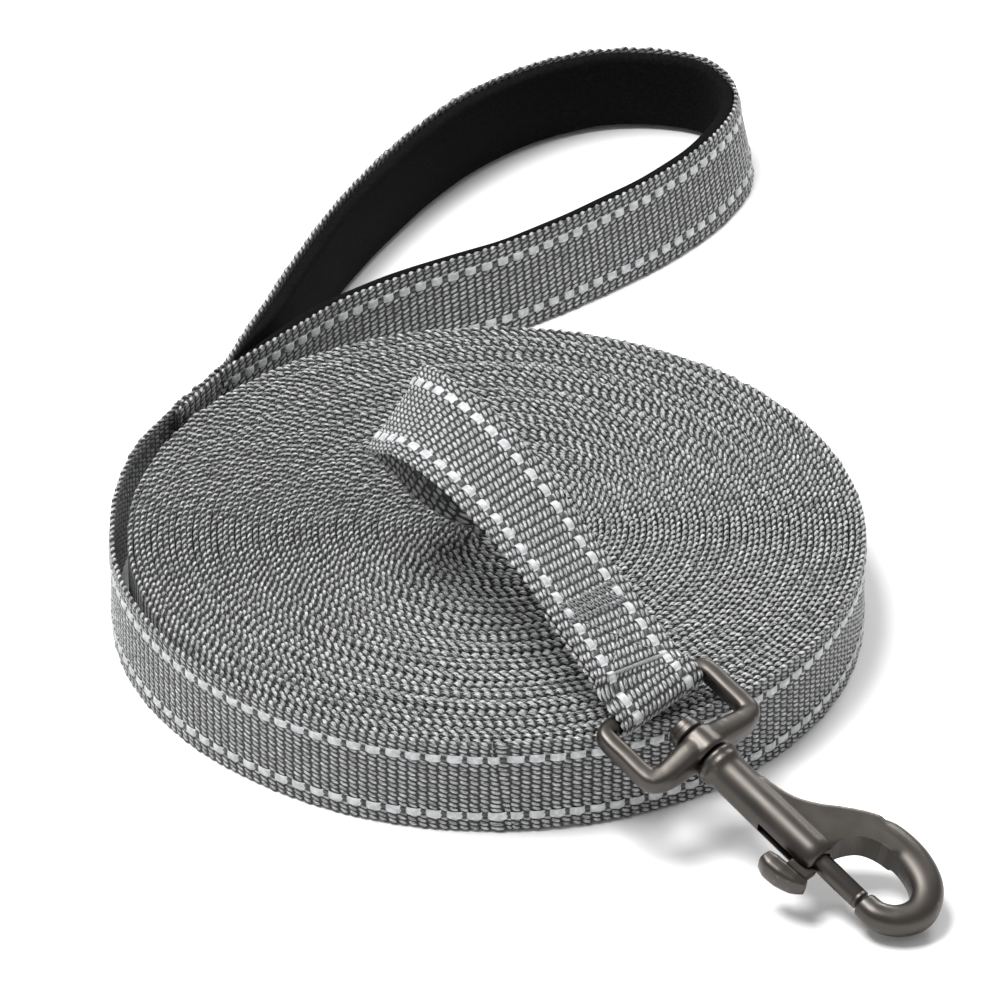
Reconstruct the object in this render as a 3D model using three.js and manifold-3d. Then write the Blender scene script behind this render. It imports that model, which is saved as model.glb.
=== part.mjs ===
// A long training leash: flat webbing wound on edge into a roll, a lined hand loop at the outer end
// and a swivel bolt snap at the inner end. Millimetres, +Z up. The origin is the centre of the roll
// on the surface that it lies on. Seen from -Y, the hand loop is behind and the snap is in front.
import * as THREE from 'three';
import { mergeVertices } from 'three/addons/utils/BufferGeometryUtils.js';
import Module from 'manifold-3d';

const wasm = await Module();
wasm.setup();

// Driving dimensions.
const GAP = 0.3; // between neighbouring pieces that touch on the real leash
const WEB_WIDTH = 20;
const WEB_THICK = 1.1;
const TURN_PITCH = 1.17; // webbing thickness as it packs in the roll
const ROLL_RADIUS = 73.2;
const LEAVE_DEG = 250; // where the last turn comes loose from the roll, counted from +X
const LOOSE_DEG = 180; // from here on the last turn stands well off the roll
const JOINT_FRONT_DEG = 145.5; // first bar tack of the handle joint
const JOINT_REAR_DEG = 133.5; // second bar tack
const JOINT_RADIUS = 77.6; // outer strap layer at the first bar
const JOINT_SPREAD = 2.6; // and this much further out at the second bar
const TACK_INSET = 2.2; // from the joint's rear end to its second bar
const JOINT_BAR_WIDTH = 2.2;
const SLACK = 2.4; // how far the last turn stands off the roll at LOOSE_DEG
const PAD_THICK = 3; // neoprene in the hand loop
const PAD_MARGIN = 0.6; // the pad is this much narrower than the webbing on each side
const THREAD = 0.6; // height of a sewn bar over the webbing

const BAR = 1.7; // radius of the eye's round bars
const EYE_INSIDE = 21.8; // clear width for the webbing
const EYE_DEPTH = 13.9; // from the middle of the crossbar to the middle of the front bar
const BOSS_RADIUS = 4.9;
const BOSS_START = 11.1;
const BOSS_END = 16.9;
const STUD_RADIUS = 1.9;
const STUD_HEAD_RADIUS = 3.3;
const BARREL_START = BOSS_END + GAP;
const BARREL_MOUTH = 46.8;
const BARREL_RADIUS = 4;
const COLLAR_RADIUS = 4.5;
const COLLAR_LENGTH = 2.4;
const BOLT_RADIUS = 2;
const BORE_RADIUS = 2.3;
const BOLT_TAIL = 37; // rear end of the bolt, where the spring pushes
const BOLT_TRAVEL = 9;
const LEVER_NECK_START = 42.9;
const LEVER_NECK_LENGTH = 5;
const SLOT_START = LEVER_NECK_START - BOLT_TRAVEL - 0.4; // the lever's neck stops here when it is pulled back
const SLOT_WIDTH = 2;
const HOOK_TIP = 58.1; // where the closed bolt meets the hook
const HOOK_THICK = 6.6;
const SPRING_WIRE = 0.45;
const SPRING_TURNS = 8;
const SEAT_END = 22.4; // front face of the washer behind the spring

// The snap's own frame: origin on the crossbar's middle, +X along the barrel, +Y along the crossbar.
const SNAP_ORIGIN = new THREE.Vector3(29.6, -63.9, 24.5);
const SNAP_HEADING_DEG = -45.3;
const SNAP_DROP_DEG = 18.4; // how steeply it leans down to the table
const SNAP_ROLL_DEG = 9.5; // +Y side higher

const GREY = { color: 0x85878a, roughness: 0.85, metalness: 0 };
const BLACK = { color: 0x111114, roughness: 0.95, metalness: 0 };
const METAL = { color: 0x5a5550, roughness: 0.32, metalness: 1 };
const STEEL = { color: 0x9a9a98, roughness: 0.35, metalness: 1 };

const leash = new THREE.Group();
const snap = new THREE.Group();
snap.position.copy(SNAP_ORIGIN);
snap.rotation.order = 'ZYX';
snap.rotation.set(rad(SNAP_ROLL_DEG), rad(SNAP_DROP_DEG), rad(SNAP_HEADING_DEG));
leash.add(snap);
snap.updateMatrixWorld(true);

function rad(degrees) {
  return (degrees * Math.PI) / 180;
}

function flat(rows) {
  return rows.map((row) => new THREE.Vector2(...row));
}

function vectors(rows) {
  return rows.map((row) => new THREE.Vector3(...row));
}

function polar(radius, degrees, z = 0) {
  return new THREE.Vector3(radius * Math.cos(rad(degrees)), radius * Math.sin(rad(degrees)), z);
}

function addPart(parent, name, geometry, finish) {
  const part = new THREE.Mesh(geometry, new THREE.MeshStandardMaterial(finish));
  part.name = name;
  parent.add(part);
  return part;
}

// Booleans.
function solid(geometry) {
  const bare = geometry.clone();
  bare.deleteAttribute('normal');
  bare.deleteAttribute('uv');
  const merged = mergeVertices(bare, 1e-4);
  return new wasm.Manifold(
    new wasm.Mesh({
      numProp: 3,
      vertProperties: new Float32Array(merged.attributes.position.array),
      triVerts: new Uint32Array(merged.index.array),
    }),
  );
}

function geometryOf(manifold) {
  const mesh = manifold.getMesh();
  const geometry = new THREE.BufferGeometry();
  geometry.setAttribute('position', new THREE.BufferAttribute(mesh.vertProperties, 3));
  geometry.setIndex(new THREE.BufferAttribute(mesh.triVerts, 1));
  geometry.computeVertexNormals();
  return geometry;
}

// Shapes shared by several pieces.
// A strap bent along a line of points. across holds the direction of its width at each point.
function strap(points, across, width, thick, steps) {
  const line = new THREE.CatmullRomCurve3(points, false, 'centripetal');
  const sides = new THREE.CatmullRomCurve3(across, false, 'catmullrom');
  const geometry = new THREE.BoxGeometry(1, width, thick, steps, 1, 1);
  const place = geometry.attributes.position;
  const corner = new THREE.Vector3();
  for (let i = 0; i < place.count; i += 1) {
    corner.fromBufferAttribute(place, i);
    const along = corner.x + 0.5;
    const tangent = line.getTangent(along);
    const side = sides.getPoint(along);
    side.addScaledVector(tangent, -side.dot(tangent)).normalize();
    const normal = new THREE.Vector3().crossVectors(tangent, side);
    const centre = line.getPoint(along);
    centre.addScaledVector(side, corner.y).addScaledVector(normal, corner.z);
    place.setXYZ(i, centre.x, centre.y, centre.z);
  }
  geometry.computeVertexNormals();
  return geometry;
}

// A body of revolution about the snap's +X, from (x, radius) pairs that start and end on the axis.
function turned(profile, segments = 24) {
  const points = profile.map(([x, radius]) => new THREE.Vector2(radius, x));
  const geometry = new THREE.LatheGeometry(points, segments);
  geometry.rotateZ(-Math.PI / 2);
  return geometry;
}

function cylinderAlongX(start, end, radius, segments = 24) {
  return turned([[start, 0], [start, radius], [end, radius], [end, 0]], segments);
}

function capsule(from, to, radius) {
  const a = new THREE.Vector3(...from);
  const b = new THREE.Vector3(...to);
  const geometry = new THREE.CapsuleGeometry(radius, a.distanceTo(b), 4, 12);
  const turn = new THREE.Quaternion();
  turn.setFromUnitVectors(new THREE.Vector3(0, 1, 0), b.clone().sub(a).normalize());
  geometry.applyQuaternion(turn);
  const middle = a.add(b).multiplyScalar(0.5);
  geometry.translate(middle.x, middle.y, middle.z);
  return geometry;
}

// Webbing.
// The roll's outside winds in by one turn, counted from where the last turn leaves it.
function rollRadius(degrees) {
  const turn = ((degrees - LEAVE_DEG + 360) % 360) / 360;
  return ROLL_RADIUS - TURN_PITCH * turn;
}

function rollGeometry() {
  const outline = new THREE.Shape();
  const count = 120;
  for (let i = 0; i <= count; i += 1) {
    const degrees = LEAVE_DEG + (359.9 * i) / count;
    const edge = polar(rollRadius(degrees), degrees);
    if (i === 0) outline.moveTo(edge.x, edge.y);
    else outline.lineTo(edge.x, edge.y);
  }
  outline.closePath();
  return new THREE.ExtrudeGeometry(outline, { depth: WEB_WIDTH, bevelEnabled: false });
}

function buildRoll() {
  addPart(leash, 'webbing_roll', rollGeometry(), GREY);
}

// Middle line of the slack outer turn, clockwise from the roll to the rear bar tack.
function outerTurnPoints() {
  const points = [];
  for (let degrees = LEAVE_DEG - 1; degrees > LOOSE_DEG; degrees -= 8) {
    const touching = rollRadius(degrees) + GAP + WEB_THICK / 2;
    const slack = SLACK * THREE.MathUtils.smoothstep(LEAVE_DEG - degrees, 10, LEAVE_DEG - LOOSE_DEG);
    points.push(polar(touching + slack, degrees, WEB_WIDTH / 2));
  }
  points.push(polar(ROLL_RADIUS + 2.8, 170, WEB_WIDTH / 2));
  points.push(polar(ROLL_RADIUS + 3.8, 158, WEB_WIDTH / 2));
  const { front, rear } = jointLine();
  points.push(front, rear);
  return points;
}

// The joint is straight: the ends of the outer layer's middle line, its direction and the way inward.
function jointLine() {
  const front = polar(JOINT_RADIUS, JOINT_FRONT_DEG, WEB_WIDTH / 2);
  const rear = polar(JOINT_RADIUS + JOINT_SPREAD, JOINT_REAR_DEG, WEB_WIDTH / 2);
  const along = rear.clone().sub(front).normalize();
  const inward = new THREE.Vector3(along.y, -along.x, 0);
  return { front, rear, along, inward };
}

function buildOuterTurn() {
  const points = outerTurnPoints();
  const across = points.map(() => new THREE.Vector3(0, 0, 1));
  addPart(leash, 'webbing_outer_turn', strap(points, across, WEB_WIDTH, WEB_THICK, 48), GREY);
}

// Middle line of the hand loop in plan, from the joint along the far leaf and back along the near one.
const HANDLE_PLAN = [
  [-54.8, 58.8], [-51.8, 69.3], [-47.1, 83.4], [-40.5, 102.9], [-32.5, 123.3], [-22.2, 143.5],
  [-11.4, 160.2], [-0.9, 171.9], [10.8, 180.4], [23.5, 185.1], [35.7, 185.2], [45.9, 181.5],
  [52.2, 172.3], [53, 160], [47.8, 146.8], [37.1, 132.2], [21.8, 117.6], [4, 104],
  [-15.8, 92.6], [-30.6, 82.3], [-41.6, 70.9], [-50.8, 61.2], [-54.3, 57],
];
// The loop stands on its lower edge. Its upper edge leans in over the loop, most at the far end.
const LEAN = [
  0, 0.02, 0.03, 0.03, 0.03, 0.04, 0.06, 0.1, 0.13, 0.16, 0.18, 0.2,
  0.2, 0.19, 0.18, 0.17, 0.16, 0.15, 0.12, 0.08, 0.04, 0.01, 0,
];
const LOOP_MIDDLE = new THREE.Vector3(6, 130, 0);

function handleLines(inward) {
  const height = WEB_WIDTH / 2 + GAP;
  const points = HANDLE_PLAN.map(([x, y]) => new THREE.Vector3(x, y, height));
  const plan = new THREE.CatmullRomCurve3(points, false, 'centripetal');
  const across = [];
  const moved = [];
  points.forEach((point, i) => {
    const tangent = plan.getTangent(i / (points.length - 1));
    const inside = new THREE.Vector3(tangent.y, -tangent.x, 0);
    if (inside.dot(LOOP_MIDDLE.clone().sub(point)) < 0) inside.negate();
    across.push(new THREE.Vector3(0, 0, 1).addScaledVector(inside, LEAN[i]).normalize());
    moved.push(point.clone().addScaledVector(inside, inward));
  });
  return { points: moved, across };
}

function buildHandle() {
  const face = handleLines(0);
  const loop = strap(face.points, face.across, WEB_WIDTH, WEB_THICK, 72);
  addPart(leash, 'handle_webbing', loop, GREY);
  const inward = WEB_THICK / 2 + GAP + PAD_THICK / 2;
  const lining = handleLines(inward);
  const points = lining.points.slice(1, -2);
  const across = lining.across.slice(1, -2);
  const pad = strap(points, across, WEB_WIDTH - 2 * PAD_MARGIN, PAD_THICK, 60);
  addPart(leash, 'handle_pad', pad, BLACK);
}

// The loop's cut end lies against the inside of the outer strap, between the two sewn bars.
function buildHandleJoint() {
  const { front, rear, along, inward } = jointLine();
  const below = WEB_THICK + GAP;
  const end = [
    rear.clone().addScaledVector(along, -1.1).addScaledVector(inward, below),
    front.clone().lerp(rear, 0.5).addScaledVector(inward, below + 0.05),
    front.clone().addScaledVector(along, -2.7).addScaledVector(inward, below + 0.4),
  ];
  const upright = end.map(() => new THREE.Vector3(0, 0, 1));
  addPart(leash, 'handle_end_tab', strap(end, upright, WEB_WIDTH, WEB_THICK, 8), GREY);
  const second = rear.clone().addScaledVector(along, -TACK_INSET);
  for (const [name, place] of [['handle_bar_tack_front', front], ['handle_bar_tack_rear', second]]) {
    const bar = new THREE.BoxGeometry(THREAD, JOINT_BAR_WIDTH, WEB_WIDTH - 4);
    const part = addPart(leash, name, bar, BLACK);
    part.position.copy(place).addScaledVector(inward, -(WEB_THICK / 2 + GAP + THREAD / 2));
    part.rotation.z = Math.atan2(-inward.y, -inward.x);
  }
}

// Lead: up out of the roll's eye, over in a high arch, and down round the crossbar.
const ROLL_TOP = WEB_WIDTH;
const RISER_POINTS = [
  [0.5, 1.5, ROLL_TOP + 10.6], [-4, 1.5, ROLL_TOP + 11.8], [-10, 0.3, ROLL_TOP + 17],
  [-15, -1.2, ROLL_TOP + 24], [-18.2, -3, ROLL_TOP + 28.8], [-19, -3.95, ROLL_TOP + 30.4],
];
const RISER_ACROSS = [
  [-0.05, 0.25, 0.97], [0.1, 0.35, 0.93], [0.3, 0.5, 0.8],
  [0.45, 0.65, 0.61], [0.52, 0.69, 0.5], [0.53, 0.69, 0.49],
];
const LEAD_POINTS = [
  [-19, -4.5, ROLL_TOP + 30.9], [-16.7, -11, ROLL_TOP + 34.4],
  [-12.9, -17.1, ROLL_TOP + 36.6], [-8, -23, ROLL_TOP + 36.5],
  [-2.9, -28.5, ROLL_TOP + 34.6], [4.9, -35.8, ROLL_TOP + 29.4],
  [11.8, -42.9, ROLL_TOP + 23], [18.4, -49.9, ROLL_TOP + 16.8],
  [22.7, -55.1, ROLL_TOP + 13.2], [26.8, -60.3, ROLL_TOP + 9.7],
];
const LEAD_ACROSS = [
  [0.53, 0.69, 0.49], [0.56, 0.7, 0.45], [0.65, 0.69, 0.31], [0.69, 0.69, 0.21], [0.71, 0.69, 0.11],
  [0.7, 0.72, 0.02], [0.66, 0.75, -0.07], [0.67, 0.74, -0.06], [0.68, 0.73, -0.05], [0.69, 0.73, -0.02],
];
const BOX_STITCH_AT = 7; // places in LEAD_POINTS
const LEAD_TACK_AT = 9;
const BOX_STITCH_LENGTH = 5;
const LEAD_TACK_LENGTH = 1.6;
const WRAP_FROM_DEG = 86; // where the strap meets the crossbar, and where it leaves it below
const WRAP_TO_DEG = -95;
const WRAP_STEPS = 8;
const WRAP_GAP = 0.33; // from the crossbar to the strap round it
const WRAP_SHIFT = 0.6; // the strap sits this much to one side on the crossbar
const WRAP_LEAD_IN = new THREE.Vector3(-3, 0.6, 2.9); // just before it, in the snap's frame
const WRAP_TAIL = new THREE.Vector3(-3, 0.8, -2.7); // its end, in the snap's frame

// Points round the crossbar in the snap's frame, on a circle that clears it, from above to below.
function wrapPoints(radius) {
  const points = [snap.localToWorld(WRAP_LEAD_IN.clone())];
  for (let i = 0; i <= WRAP_STEPS; i += 1) {
    const angle = rad(THREE.MathUtils.lerp(WRAP_FROM_DEG, WRAP_TO_DEG, i / WRAP_STEPS));
    const point = new THREE.Vector3(radius * Math.cos(angle), WRAP_SHIFT, radius * Math.sin(angle));
    points.push(snap.localToWorld(point));
  }
  points.push(snap.localToWorld(WRAP_TAIL.clone()));
  return points;
}

function buildLead() {
  const riser = strap(vectors(RISER_POINTS), vectors(RISER_ACROSS), WEB_WIDTH, WEB_THICK, 36);
  addPart(leash, 'lead_riser', riser, GREY);
  const wrap = wrapPoints(BAR + WRAP_GAP + WEB_THICK / 2);
  const crossbar = new THREE.Vector3(0, 1, 0).transformDirection(snap.matrixWorld);
  const points = [...vectors(LEAD_POINTS), ...wrap];
  const across = [...vectors(LEAD_ACROSS), ...wrap.map(() => crossbar)];
  addPart(leash, 'lead_webbing', strap(points, across, WEB_WIDTH, WEB_THICK, 110), GREY);
  buildLeadTab();
  addPlateOnLead('lead_box_stitch', BOX_STITCH_AT, BOX_STITCH_LENGTH);
  addPlateOnLead('lead_bar_tack', LEAD_TACK_AT, LEAD_TACK_LENGTH);
}

// The lead's direction, its width and the way up from it, at one of its points.
function leadFrame(at) {
  const [before, here, after] = [at - 1, at, Math.min(at + 1, LEAD_POINTS.length - 1)].map(
    (i) => new THREE.Vector3(...LEAD_POINTS[i]),
  );
  const along = after.sub(before).normalize();
  const across = new THREE.Vector3(...LEAD_ACROSS[at]);
  across.addScaledVector(along, -across.dot(along)).normalize();
  const up = new THREE.Vector3().crossVectors(across, along).normalize();
  if (up.z < 0) up.negate();
  return { here, along, across, up };
}

// The cut end runs back under the lead, and the two are sewn together through both layers.
function buildLeadTab() {
  const below = -(WEB_THICK + GAP);
  const points = [];
  const across = [];
  for (let at = LEAD_TACK_AT; at >= BOX_STITCH_AT; at -= 1) {
    const frame = leadFrame(at);
    points.push(frame.here.addScaledVector(frame.up, below));
    across.push(frame.across);
  }
  addPart(leash, 'lead_end_tab', strap(points, across, WEB_WIDTH - 0.6, WEB_THICK, 24), GREY);
}

// Sewing that shows on top of the lead, as a low plate.
function addPlateOnLead(name, at, length) {
  const { here, along, up } = leadFrame(at);
  const plate = addPart(leash, name, new THREE.BoxGeometry(length, WEB_WIDTH - 4, THREAD), GREY);
  const axes = new THREE.Matrix4().makeBasis(along, new THREE.Vector3().crossVectors(up, along), up);
  plate.quaternion.setFromRotationMatrix(axes);
  plate.position.copy(here.addScaledVector(up, WEB_THICK / 2 + GAP + THREAD / 2));
}

// Snap.
function buildEye() {
  const side = EYE_INSIDE / 2 + BAR;
  const corners = [[0, -side, 0], [0, side, 0], [EYE_DEPTH, side, 0], [EYE_DEPTH, -side, 0]];
  let eye = solid(capsule(corners[0], corners[1], BAR));
  for (let i = 1; i < 4; i += 1) {
    eye = eye.add(solid(capsule(corners[i], corners[(i + 1) % 4], BAR)));
  }
  const boss = turned([
    [BOSS_START, 0], [BOSS_START, BOSS_RADIUS - 1], [BOSS_START + 1, BOSS_RADIUS],
    [BOSS_END - 0.8, BOSS_RADIUS], [BOSS_END, BOSS_RADIUS - 0.8], [BOSS_END, 0],
  ]);
  eye = eye.add(solid(boss));
  for (const sign of [-1, 1]) {
    const brace = capsule([EYE_DEPTH, 0, 1.2], [EYE_DEPTH, sign * (side - 3), 0], BAR + 0.4);
    eye = eye.add(solid(brace));
  }
  eye = eye.subtract(solid(cylinderAlongX(BOSS_START - 5, BOSS_END + 5, STUD_RADIUS + GAP)));
  addPart(snap, 'swivel_eye', geometryOf(eye), METAL);
}

// A domed head inside the eye, and a shank that ends in the barrel and closes it.
function buildStud() {
  const head = BOSS_START - GAP;
  const inBarrel = BARREL_START + 2.6;
  const stud = turned([
    [head - 2.4, 0], [head - 2.4, 1.2], [head - 1.8, 2.4], [head - 0.8, STUD_HEAD_RADIUS],
    [head, STUD_HEAD_RADIUS], [head, STUD_RADIUS], [inBarrel, STUD_RADIUS], [inBarrel, 0],
  ]);
  addPart(snap, 'swivel_stud', stud, METAL);
}

// The hook's middle line from the neck round to the tip, with its half width in the plane of the hook.
const HOOK_LINE = [
  [46.4, 9.8, 4.3], [51, 12.9, 4], [58, 13.3, 3.7], [63.8, 11, 3.4],
  [66.4, 6.6, 3.2], [65.1, 2.3, 2.9], [61.8, 0, 2.7], [HOOK_TIP + 2.2, -0.1, 2.6],
];

function hookRing() {
  let ring = null;
  for (let i = 1; i < HOOK_LINE.length; i += 1) {
    const [x0, y0] = HOOK_LINE[i - 1];
    const [x1, y1, half] = HOOK_LINE[i];
    const link = capsule([x0, y0, 0], [x1, y1, 0], half);
    link.scale(1, 1, HOOK_THICK / 2 / HOOK_LINE[0][2]);
    ring = ring ? ring.add(solid(link)) : solid(link);
  }
  return ring;
}

// The flat web that spreads from the barrel to the hook.
function neckWeb() {
  const outline = new THREE.Shape();
  outline.moveTo(31.6, 1);
  outline.lineTo(31.6, 3.4);
  outline.splineThru(flat([[35.4, 5.6], [39, 9.4], [43.4, 13], [48, 15.4]]));
  outline.lineTo(50, 9.6);
  outline.splineThru(flat([[48, 7], [BARREL_MOUTH - 0.4, 3.2]]));
  outline.lineTo(BARREL_MOUTH - 0.4, 1);
  outline.closePath();
  const web = new THREE.ExtrudeGeometry(outline, {
    depth: HOOK_THICK - 1, curveSegments: 3, bevelEnabled: false,
  });
  web.translate(0, 0, (1 - HOOK_THICK) / 2);
  return web;
}

function buildSnapBody() {
  const collarEnd = BARREL_START + COLLAR_LENGTH;
  const barrel = turned([
    [BARREL_START, 0], [BARREL_START, COLLAR_RADIUS - 0.5], [BARREL_START + 0.5, COLLAR_RADIUS],
    [collarEnd - 0.4, COLLAR_RADIUS], [collarEnd, BARREL_RADIUS], [BARREL_MOUTH - 0.8, BARREL_RADIUS],
    [BARREL_MOUTH, BARREL_RADIUS - 0.8], [BARREL_MOUTH, 0],
  ], 32);
  let body = solid(barrel).add(hookRing()).add(solid(neckWeb()));
  body = body.subtract(solid(cylinderAlongX(BARREL_MOUTH, HOOK_TIP, BARREL_RADIUS - 0.8)));
  body = body.subtract(solid(cylinderAlongX(BARREL_START - 1, BARREL_MOUTH + 1, BORE_RADIUS)));
  const slotLength = BARREL_MOUTH + 1 - SLOT_START;
  const slot = new THREE.BoxGeometry(slotLength, BARREL_RADIUS + 1, SLOT_WIDTH);
  slot.translate(SLOT_START + slotLength / 2, -(BARREL_RADIUS + 1) / 2, 0);
  body = body.subtract(solid(slot));
  addPart(snap, 'snap_body', geometryOf(body), METAL);
}

function buildBolt() {
  const bolt = turned([
    [BOLT_TAIL, 0], [BOLT_TAIL, BOLT_RADIUS], [HOOK_TIP - GAP - 0.5, BOLT_RADIUS],
    [HOOK_TIP - GAP, BOLT_RADIUS - 0.5], [HOOK_TIP - GAP, 0],
  ]);
  addPart(snap, 'snap_bolt', bolt, METAL);
  const seat = cylinderAlongX(BARREL_START + 2.6 + GAP, SEAT_END, BOLT_RADIUS);
  addPart(snap, 'spring_seat', seat, STEEL);
}

// A rounded wedge beside the barrel, with a thin neck that reaches through the slot to the bolt.
function buildLever() {
  const outline = new THREE.Shape();
  outline.moveTo(39.4, -7.4);
  outline.splineThru(flat([[40.2, -8.6], [44, -9.2], [48, -8], [49.4, -6.4]]));
  outline.lineTo(48.6, -4.9);
  outline.lineTo(42, -4.9);
  outline.lineTo(39.4, -6);
  outline.closePath();
  const thumb = new THREE.ExtrudeGeometry(outline, { depth: 4.8, curveSegments: 4, bevelEnabled: false });
  thumb.translate(0, 0, -2.4);
  const neck = new THREE.BoxGeometry(LEVER_NECK_LENGTH, 3.2, SLOT_WIDTH - 0.6);
  neck.translate(LEVER_NECK_START + LEVER_NECK_LENGTH / 2, -BOLT_RADIUS - GAP - 1.6, 0);
  addPart(snap, 'thumb_lever', geometryOf(solid(thumb).add(solid(neck))), METAL);
}

class Helix extends THREE.Curve {
  constructor(start, end, radius, turns) {
    super();
    Object.assign(this, { start, end, radius, turns });
  }

  getPoint(t, target = new THREE.Vector3()) {
    const angle = 2 * Math.PI * this.turns * t;
    const x = this.start + (this.end - this.start) * t;
    return target.set(x, this.radius * Math.cos(angle), this.radius * Math.sin(angle));
  }
}

function buildSpring() {
  const start = SEAT_END + GAP + SPRING_WIRE / 2;
  const end = BOLT_TAIL - GAP - SPRING_WIRE / 2;
  const path = new Helix(start, end, BOLT_RADIUS - SPRING_WIRE, SPRING_TURNS);
  const section = new THREE.Shape();
  section.absarc(0, 0, SPRING_WIRE / 2, 0, 2 * Math.PI, false);
  const coil = new THREE.ExtrudeGeometry(section, {
    steps: SPRING_TURNS * 12, curveSegments: 3, bevelEnabled: false, extrudePath: path,
  });
  addPart(snap, 'bolt_spring', coil, STEEL);
}

buildRoll();
buildOuterTurn();
buildHandle();
buildHandleJoint();
buildLead();
buildEye();
buildStud();
buildSnapBody();
buildBolt();
buildLever();
buildSpring();

export default leash;
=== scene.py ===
"""A long training leash: webbing wound on edge, a lined hand loop and a swivel bolt snap.
Lengths in the script are millimetres unless a name ends in _m. The frame is the CAD model's."""
import math
import bpy
import numpy as np
from mathutils import Matrix, Vector


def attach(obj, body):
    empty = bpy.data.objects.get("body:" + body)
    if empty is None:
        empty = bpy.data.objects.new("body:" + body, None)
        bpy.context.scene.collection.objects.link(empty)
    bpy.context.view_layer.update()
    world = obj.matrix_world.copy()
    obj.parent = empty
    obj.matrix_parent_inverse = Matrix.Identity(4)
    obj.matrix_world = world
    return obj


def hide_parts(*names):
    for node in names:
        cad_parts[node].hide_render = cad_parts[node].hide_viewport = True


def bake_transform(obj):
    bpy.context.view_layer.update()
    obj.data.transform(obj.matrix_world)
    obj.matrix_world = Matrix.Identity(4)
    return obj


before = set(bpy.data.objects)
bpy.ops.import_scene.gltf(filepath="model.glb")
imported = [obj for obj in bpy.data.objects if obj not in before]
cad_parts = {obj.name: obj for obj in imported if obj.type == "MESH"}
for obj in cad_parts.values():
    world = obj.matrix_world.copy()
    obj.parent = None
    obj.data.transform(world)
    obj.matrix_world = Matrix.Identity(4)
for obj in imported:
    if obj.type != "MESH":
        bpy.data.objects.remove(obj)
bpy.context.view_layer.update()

MM = 0.001
rng = np.random.default_rng(7)
LUMP_JITTER = rng.uniform(-1, 1, 997)  # unevenness of the selvedge's lumps

# Webbing.
WIDTH = 20.0
THICK = 1.1
PITCH = 1.17  # thickness as packed in the roll
ROLL_RADIUS = 73.2
COLUMN = 1.96  # length of one rib of the weave
ROWS = 19
ROW = WIDTH / ROWS
STEPS_PER_COLUMN = 5
STEPS_PER_ROW = 4
RIB = 0.42  # height of the ribs
SLANT = 0.62  # how many rows a yarn drops while it passes over one rib
FLOAT_PITCH = 2 * COLUMN
FLOAT_LENGTH = 2.6
LONG_FLOAT = 3.15  # round the roll, where the strap is pulled out
FLOAT_WIDTH = 1.75
FLOAT_ROWS = (3.45, 16.55)  # middles of the two reflective yarns across the width
LEAVE_DEG, LOOSE_DEG = 250.0, 180.0
JOINT_FRONT_DEG, JOINT_REAR_DEG = 145.5, 133.5
JOINT_RADIUS = 77.6
JOINT_SPREAD, TACK_INSET, SLACK = 2.6, 2.2, 2.4
FLOAT_START = 0.6
FLOAT_GAP = 0.7  # share of the pitch after which a reflective yarn dives under
CORE_RADIUS = 3.6
GAP = 0.3

# Snap frame.
SNAP_ORIGIN = np.array([29.6, -63.9, 24.5])
SNAP_TURN = Matrix.Rotation(math.radians(-45.3), 3, "Z") @ Matrix.Rotation(math.radians(18.4), 3, "Y") \
    @ Matrix.Rotation(math.radians(9.5), 3, "X")
SNAP_AXES = np.array(SNAP_TURN)
BAR = 1.7


def make_camera():
    """Looks down on the roll from the front, as a product photograph does, from 1.5 m away."""
    elevation = math.radians(34.11)
    aim = Vector((0.0009, 0.0248, 0.010))
    look = Vector((0, math.cos(elevation), -math.sin(elevation)))
    data = bpy.data.cameras.new("camera")
    data.lens = 269.5
    data.sensor_width = 36
    data.clip_start, data.clip_end = 0.1, 20
    camera = bpy.data.objects.new("camera", data)
    camera.location = aim - 1.496 * look
    camera.rotation_euler = look.to_track_quat("-Z", "Y").to_euler()
    bpy.context.collection.objects.link(camera)
    bpy.context.scene.camera = camera


make_camera()


# ---------------------------------------------------------------- lines
def smoothstep(x):
    x = np.clip(x, 0, 1)
    return x * x * (3 - 2 * x)


def catmull(points, per=32):
    """Centripetal Catmull-Rom line through the points, with each sample's place in the list."""
    p = np.array(points, float)
    p = np.vstack([2 * p[0] - p[1], p, 2 * p[-1] - p[-2]])
    line, place = [], []
    for i in range(1, len(p) - 2):
        p0, p1, p2, p3 = p[i - 1:i + 3]
        t1 = np.linalg.norm(p1 - p0) ** 0.5
        t2 = t1 + np.linalg.norm(p2 - p1) ** 0.5
        t3 = t2 + np.linalg.norm(p3 - p2) ** 0.5
        for k in range(per):
            t = t1 + (t2 - t1) * k / per
            a1 = (t1 - t) / t1 * p0 + t / t1 * p1
            a2 = (t2 - t) / (t2 - t1) * p1 + (t - t1) / (t2 - t1) * p2
            a3 = (t3 - t) / (t3 - t2) * p2 + (t - t2) / (t3 - t2) * p3
            b1 = (t2 - t) / t2 * a1 + t / t2 * a2
            b2 = (t3 - t) / (t3 - t1) * a2 + (t - t1) / (t3 - t1) * a3
            line.append((t2 - t) / (t2 - t1) * b1 + (t - t1) / (t2 - t1) * b2)
            place.append(i - 1 + k / per)
    line.append(p[-2])
    place.append(len(points) - 1)
    return np.array(line), np.array(place)


def unit(v):
    return v / np.linalg.norm(v, axis=-1, keepdims=True)


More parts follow.
